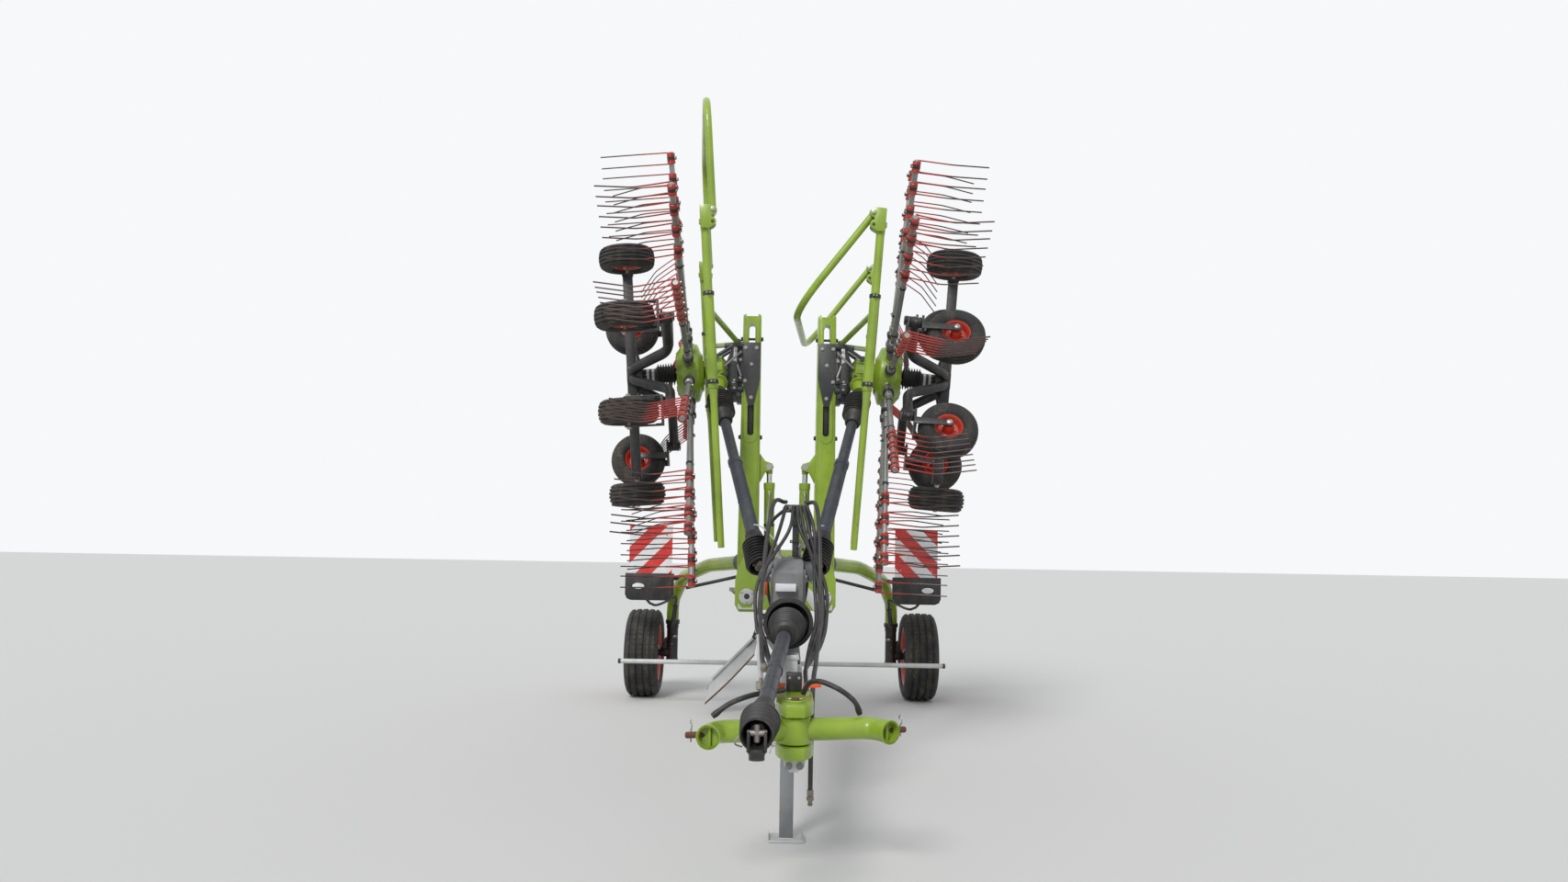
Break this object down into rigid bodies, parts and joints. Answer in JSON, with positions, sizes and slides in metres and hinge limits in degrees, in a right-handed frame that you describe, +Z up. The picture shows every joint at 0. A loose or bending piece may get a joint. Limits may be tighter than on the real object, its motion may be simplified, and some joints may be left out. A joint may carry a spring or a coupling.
{
  "type": "folded rotary rake",
  "caption": "Trailed hay rake with side rotors folded upright on hinged arms, steered rear wheels, parking jack, drive shafts and folding guards.",
  "frame": {"origin": "bottom centre of the bounding box, on the ground", "axes": "+X to the right seen from the hitch end, +Y rearwards, +Z up"},
  "size_m": [2.83, 6.31, 4.4807],
  "materials": {
    "beam_grey": "satin light grey paint",
    "green_paint": "gloss lime green paint",
    "dark_frame": "satin dark grey paint",
    "black_metal": "satin black paint",
    "black_plastic": "matt black plastic",
    "shaft_guard": "matt blue-grey plastic",
    "galvanised": "dull zinc, with dark red sprung tines",
    "rod_chrome": "polished rod",
    "tyre": "black tyre on a red rim",
    "hose": "black hose",
    "board": "red and white striped sheet"
  },
  "bodies": {
    "frame": {"drawbar": "beam_grey", "gearbox_centre": "beam_grey", "pto_shaft": "black_plastic", "hose_stand": "dark_frame", "axle_arch": "green_paint", "cross_tube": "beam_grey", "deflector": "beam_grey", "light_board_left": "board", "light_board_right": "board", "hose_left": "hose", "hose_right": "hose", "cable_left": "hose", "cable_right": "hose"},
    "headstock": {"headstock": "green_paint"},
    "jack": {"jack_leg": "beam_grey"},
    "arm_left": {"mast_left": "green_paint", "rotor_mount_left": "dark_frame", "chassis_left": "dark_frame", "guard_left": "green_paint"},
    "lift_barrel_left": {"lift_barrel_left": "green_paint"},
    "lift_rod_left": {"lift_rod_left": "rod_chrome"},
    "shaft_outer_left": {"shaft_outer_left": "shaft_guard"},
    "shaft_inner_left": {"shaft_inner_left": "shaft_guard"},
    "reel_left": {"reel_left": "galvanised"},
    "bow_left": {"bow_left": "green_paint"},
    "castor_left_b": {"castor_left_b": "dark_frame"},
    "rake_wheel_left_b": {"rake_wheel_left_b": "tyre"},
    "castor_left_c": {"castor_left_c": "dark_frame"},
    "rake_wheel_left_c": {"rake_wheel_left_c": "tyre"},
    "castor_left_d": {"castor_left_d": "dark_frame"},
    "rake_wheel_left_d": {"rake_wheel_left_d": "tyre"},
    "castor_left_f": {"castor_left_f": "dark_frame"},
    "rake_wheel_left_f": {"rake_wheel_left_f": "tyre"},
    "rake_wheel_left_a": {"rake_wheel_left_a": "tyre"},
    "rake_wheel_left_e": {"rake_wheel_left_e": "tyre"},
    "knuckle_left": {"knuckle_left": "black_metal"},
    "transport_wheel_left": {"transport_wheel_left": "tyre"},
    "arm_right": {"mast_right": "green_paint", "rotor_mount_right": "dark_frame", "chassis_right": "dark_frame", "guard_right": "green_paint"},
    "lift_barrel_right": {"lift_barrel_right": "green_paint"},
    "lift_rod_right": {"lift_rod_right": "rod_chrome"},
    "shaft_outer_right": {"shaft_outer_right": "shaft_guard"},
    "shaft_inner_right": {"shaft_inner_right": "shaft_guard"},
    "reel_right": {"reel_right": "galvanised"},
    "bow_right": {"bow_right": "green_paint"},
    "castor_right_b": {"castor_right_b": "dark_frame"},
    "rake_wheel_right_b": {"rake_wheel_right_b": "tyre"},
    "castor_right_c": {"castor_right_c": "dark_frame"},
    "rake_wheel_right_c": {"rake_wheel_right_c": "tyre"},
    "castor_right_d": {"castor_right_d": "dark_frame"},
    "rake_wheel_right_d": {"rake_wheel_right_d": "tyre"},
    "castor_right_f": {"castor_right_f": "dark_frame"},
    "rake_wheel_right_f": {"rake_wheel_right_f": "tyre"},
    "rake_wheel_right_a": {"rake_wheel_right_a": "tyre"},
    "rake_wheel_right_e": {"rake_wheel_right_e": "tyre"},
    "knuckle_right": {"knuckle_right": "black_metal"},
    "transport_wheel_right": {"transport_wheel_right": "tyre"}
  },
  "joints": [
    {"name": "hitch_turn", "type": "hinge", "parent": "frame", "child": "headstock", "pos_m": [0.02, -2.435, 0.7], "axis": [0, 0, 1], "range_deg": [-72, 48]},
    {"name": "jack_slide", "type": "slide", "parent": "frame", "child": "jack", "axis": [0, 0, 1], "range_m": [0, 0.32]},
    {"name": "arm_left_fold", "type": "hinge", "parent": "frame", "child": "arm_left", "pos_m": [-0.272, 0.565, 1.08], "axis": [0, -1, 0], "range_deg": [0, 86]},
    {"name": "lift_left_swing", "type": "hinge", "parent": "frame", "child": "lift_barrel_left", "pos_m": [-0.12, 0.565, 1.235], "axis": [0, -1, 0], "range_deg": [-0.1, 86.6]},
    {"name": "lift_left_stroke", "type": "slide", "parent": "lift_barrel_left", "child": "lift_rod_left", "axis": [-0.013, 0, 0.9999], "range_m": [-0.001, 0.297]},
    {"name": "shaft_left_swing", "type": "hinge", "parent": "frame", "child": "shaft_outer_left", "pos_m": [-0.16, -0.735, 1.34], "axis": [0.0469, -0.9954, 0.0841], "range_deg": [-0.1, 88.08]},
    {"name": "shaft_left_slide", "type": "slide", "parent": "shaft_outer_left", "child": "shaft_inner_left", "axis": [-0.208, 0.673, 0.7097], "range_m": [-0.001, 0.3021]},
    {"name": "reel_left_spin", "type": "hinge", "parent": "arm_left", "child": "reel_left", "pos_m": [-0.717, 0.565, 2.677], "axis": [-0.995, -0.0696, -0.0715], "continuous": true},
    {"name": "bow_left_fold", "type": "hinge", "parent": "arm_left", "child": "bow_left", "pos_m": [-0.58445, 0.48405, 3.63851], "axis": [-0.0698, 0.9976, 0], "range_deg": [0, 146]},
    {"name": "castor_left_b_swivel", "type": "hinge", "parent": "arm_left", "child": "castor_left_b", "pos_m": [-0.8927, 0.0114, 2.98249], "axis": [-0.995, -0.0696, -0.0715], "continuous": true},
    {"name": "rake_wheel_left_b_spin", "type": "hinge", "parent": "castor_left_b", "child": "rake_wheel_left_b", "pos_m": [-1.11706, -0.10454, 2.96587], "axis": [0.0713, 0.005, -0.9974], "continuous": true},
    {"name": "castor_left_c_swivel", "type": "hinge", "parent": "arm_left", "child": "castor_left_c", "pos_m": [-0.84705, 0.01459, 2.34413], "axis": [-0.995, -0.0696, -0.0715], "continuous": true},
    {"name": "rake_wheel_left_c_spin", "type": "hinge", "parent": "castor_left_c", "child": "rake_wheel_left_c", "pos_m": [-1.07142, -0.10135, 2.3275], "axis": [0.0713, 0.005, -0.9974], "continuous": true},
    {"name": "castor_left_d_swivel", "type": "hinge", "parent": "arm_left", "child": "castor_left_d", "pos_m": [-0.89979, 0.9532, 2.16459], "axis": [-0.995, -0.0696, -0.0715], "continuous": true},
    {"name": "rake_wheel_left_d_spin", "type": "hinge", "parent": "castor_left_d", "child": "rake_wheel_left_d", "pos_m": [-1.12243, 0.91168, 2.05162], "axis": [-0.0489, 0.9649, -0.2582], "continuous": true},
    {"name": "castor_left_f_swivel", "type": "hinge", "parent": "arm_left", "child": "castor_left_f", "pos_m": [-0.97111, 0.94821, 3.16203], "axis": [-0.995, -0.0696, -0.0715], "continuous": true},
    {"name": "rake_wheel_left_f_spin", "type": "hinge", "parent": "castor_left_f", "child": "rake_wheel_left_f", "pos_m": [-1.19375, 0.90669, 3.04906], "axis": [-0.0489, 0.9649, -0.2582], "continuous": true},
    {"name": "rake_wheel_left_a_spin", "type": "hinge", "parent": "arm_left", "child": "rake_wheel_left_a", "pos_m": [-1.20022, 0.53121, 3.50448], "axis": [-0.0713, -0.005, 0.9974], "continuous": true},
    {"name": "rake_wheel_left_e_spin", "type": "hinge", "parent": "arm_left", "child": "rake_wheel_left_e", "pos_m": [-1.07755, 0.53979, 1.78889], "axis": [-0.0713, -0.005, 0.9974], "continuous": true},
    {"name": "steer_left", "type": "hinge", "parent": "frame", "child": "knuckle_left", "pos_m": [-1, 2.765, 0.39], "axis": [0, 0, 1], "range_deg": [-19.3, 28.9]},
    {"name": "transport_wheel_left_spin", "type": "hinge", "parent": "knuckle_left", "child": "transport_wheel_left", "pos_m": [-1.25, 2.765, 0.39], "axis": [1, 0, 0], "continuous": true},
    {"name": "arm_right_fold", "type": "hinge", "parent": "frame", "child": "arm_right", "pos_m": [0.272, 0.565, 1.08], "axis": [0, 1, 0], "range_deg": [0, 86]},
    {"name": "lift_right_swing", "type": "hinge", "parent": "frame", "child": "lift_barrel_right", "pos_m": [0.12, 0.565, 1.235], "axis": [0, 1, 0], "range_deg": [-0.1, 86.6]},
    {"name": "lift_right_stroke", "type": "slide", "parent": "lift_barrel_right", "child": "lift_rod_right", "axis": [0.013, 0, 0.9999], "range_m": [-0.001, 0.297]},
    {"name": "shaft_right_swing", "type": "hinge", "parent": "frame", "child": "shaft_outer_right", "pos_m": [0.16, -0.735, 1.34], "axis": [0.0469, 0.9954, -0.0841], "range_deg": [-0.1, 88.08]},
    {"name": "shaft_right_slide", "type": "slide", "parent": "shaft_outer_right", "child": "shaft_inner_right", "axis": [0.208, 0.673, 0.7097], "range_m": [-0.001, 0.3021]},
    {"name": "reel_right_spin", "type": "hinge", "parent": "arm_right", "child": "reel_right", "pos_m": [0.717, 0.565, 2.677], "axis": [0.995, -0.0696, -0.0715], "continuous": true},
    {"name": "bow_right_fold", "type": "hinge", "parent": "arm_right", "child": "bow_right", "pos_m": [0.58445, 0.48405, 3.63851], "axis": [0.0698, 0.9976, 0], "range_deg": [0, 146]},
    {"name": "castor_right_b_swivel", "type": "hinge", "parent": "arm_right", "child": "castor_right_b", "pos_m": [0.8927, 0.0114, 2.98249], "axis": [0.995, -0.0696, -0.0715], "continuous": true},
    {"name": "rake_wheel_right_b_spin", "type": "hinge", "parent": "castor_right_b", "child": "rake_wheel_right_b", "pos_m": [1.11437, -0.05423, 2.87948], "axis": [0.0247, 0.8664, -0.4987], "continuous": true},
    {"name": "castor_right_c_swivel", "type": "hinge", "parent": "arm_right", "child": "castor_right_c", "pos_m": [0.84705, 0.01459, 2.34413], "axis": [0.995, -0.0696, -0.0715], "continuous": true},
    {"name": "rake_wheel_right_c_spin", "type": "hinge", "parent": "castor_right_c", "child": "rake_wheel_right_c", "pos_m": [1.06873, -0.05104, 2.24112], "axis": [0.0247, 0.8664, -0.4987], "continuous": true},
    {"name": "castor_right_d_swivel", "type": "hinge", "parent": "arm_right", "child": "castor_right_d", "pos_m": [0.89979, 0.9532, 2.16459], "axis": [0.995, -0.0696, -0.0715], "continuous": true},
    {"name": "rake_wheel_right_d_spin", "type": "hinge", "parent": "castor_right_d", "child": "rake_wheel_right_d", "pos_m": [1.12243, 0.91168, 2.05162], "axis": [0.0489, 0.9649, -0.2582], "continuous": true},
    {"name": "castor_right_f_swivel", "type": "hinge", "parent": "arm_right", "child": "castor_right_f", "pos_m": [0.97111, 0.94821, 3.16203], "axis": [0.995, -0.0696, -0.0715], "continuous": true},
    {"name": "rake_wheel_right_f_spin", "type": "hinge", "parent": "castor_right_f", "child": "rake_wheel_right_f", "pos_m": [1.19375, 0.90669, 3.04906], "axis": [0.0489, 0.9649, -0.2582], "continuous": true},
    {"name": "rake_wheel_right_a_spin", "type": "hinge", "parent": "arm_right", "child": "rake_wheel_right_a", "pos_m": [1.20022, 0.53121, 3.50448], "axis": [0.0713, -0.005, 0.9974], "continuous": true},
    {"name": "rake_wheel_right_e_spin", "type": "hinge", "parent": "arm_right", "child": "rake_wheel_right_e", "pos_m": [1.07755, 0.53979, 1.78889], "axis": [0.0713, -0.005, 0.9974], "continuous": true},
    {"name": "steer_right", "type": "hinge", "parent": "frame", "child": "knuckle_right", "pos_m": [1, 2.765, 0.39], "axis": [0, 0, 1], "range_deg": [-19.3, 28.9]},
    {"name": "transport_wheel_right_spin", "type": "hinge", "parent": "knuckle_right", "child": "transport_wheel_right", "pos_m": [1.25, 2.765, 0.39], "axis": [1, 0, 0], "continuous": true}
  ],
  "couplings": [
    {"joint": "lift_left_swing", "follows": "arm_left_fold", "ratio": 1.0059},
    {"joint": "lift_left_stroke", "follows": "arm_left_fold", "m_per_rad": 0.19721},
    {"joint": "shaft_left_swing", "follows": "arm_left_fold", "ratio": 1.023},
    {"joint": "shaft_left_slide", "follows": "arm_left_fold", "m_per_rad": 0.20061},
    {"joint": "steer_left", "follows": "hitch_turn", "ratio": -0.4},
    {"joint": "lift_right_swing", "follows": "arm_right_fold", "ratio": 1.0059},
    {"joint": "lift_right_stroke", "follows": "arm_right_fold", "m_per_rad": 0.19721},
    {"joint": "shaft_right_swing", "follows": "arm_right_fold", "ratio": 1.023},
    {"joint": "shaft_right_slide", "follows": "arm_right_fold", "m_per_rad": 0.20061},
    {"joint": "steer_right", "follows": "hitch_turn", "ratio": -0.4}
  ]
}
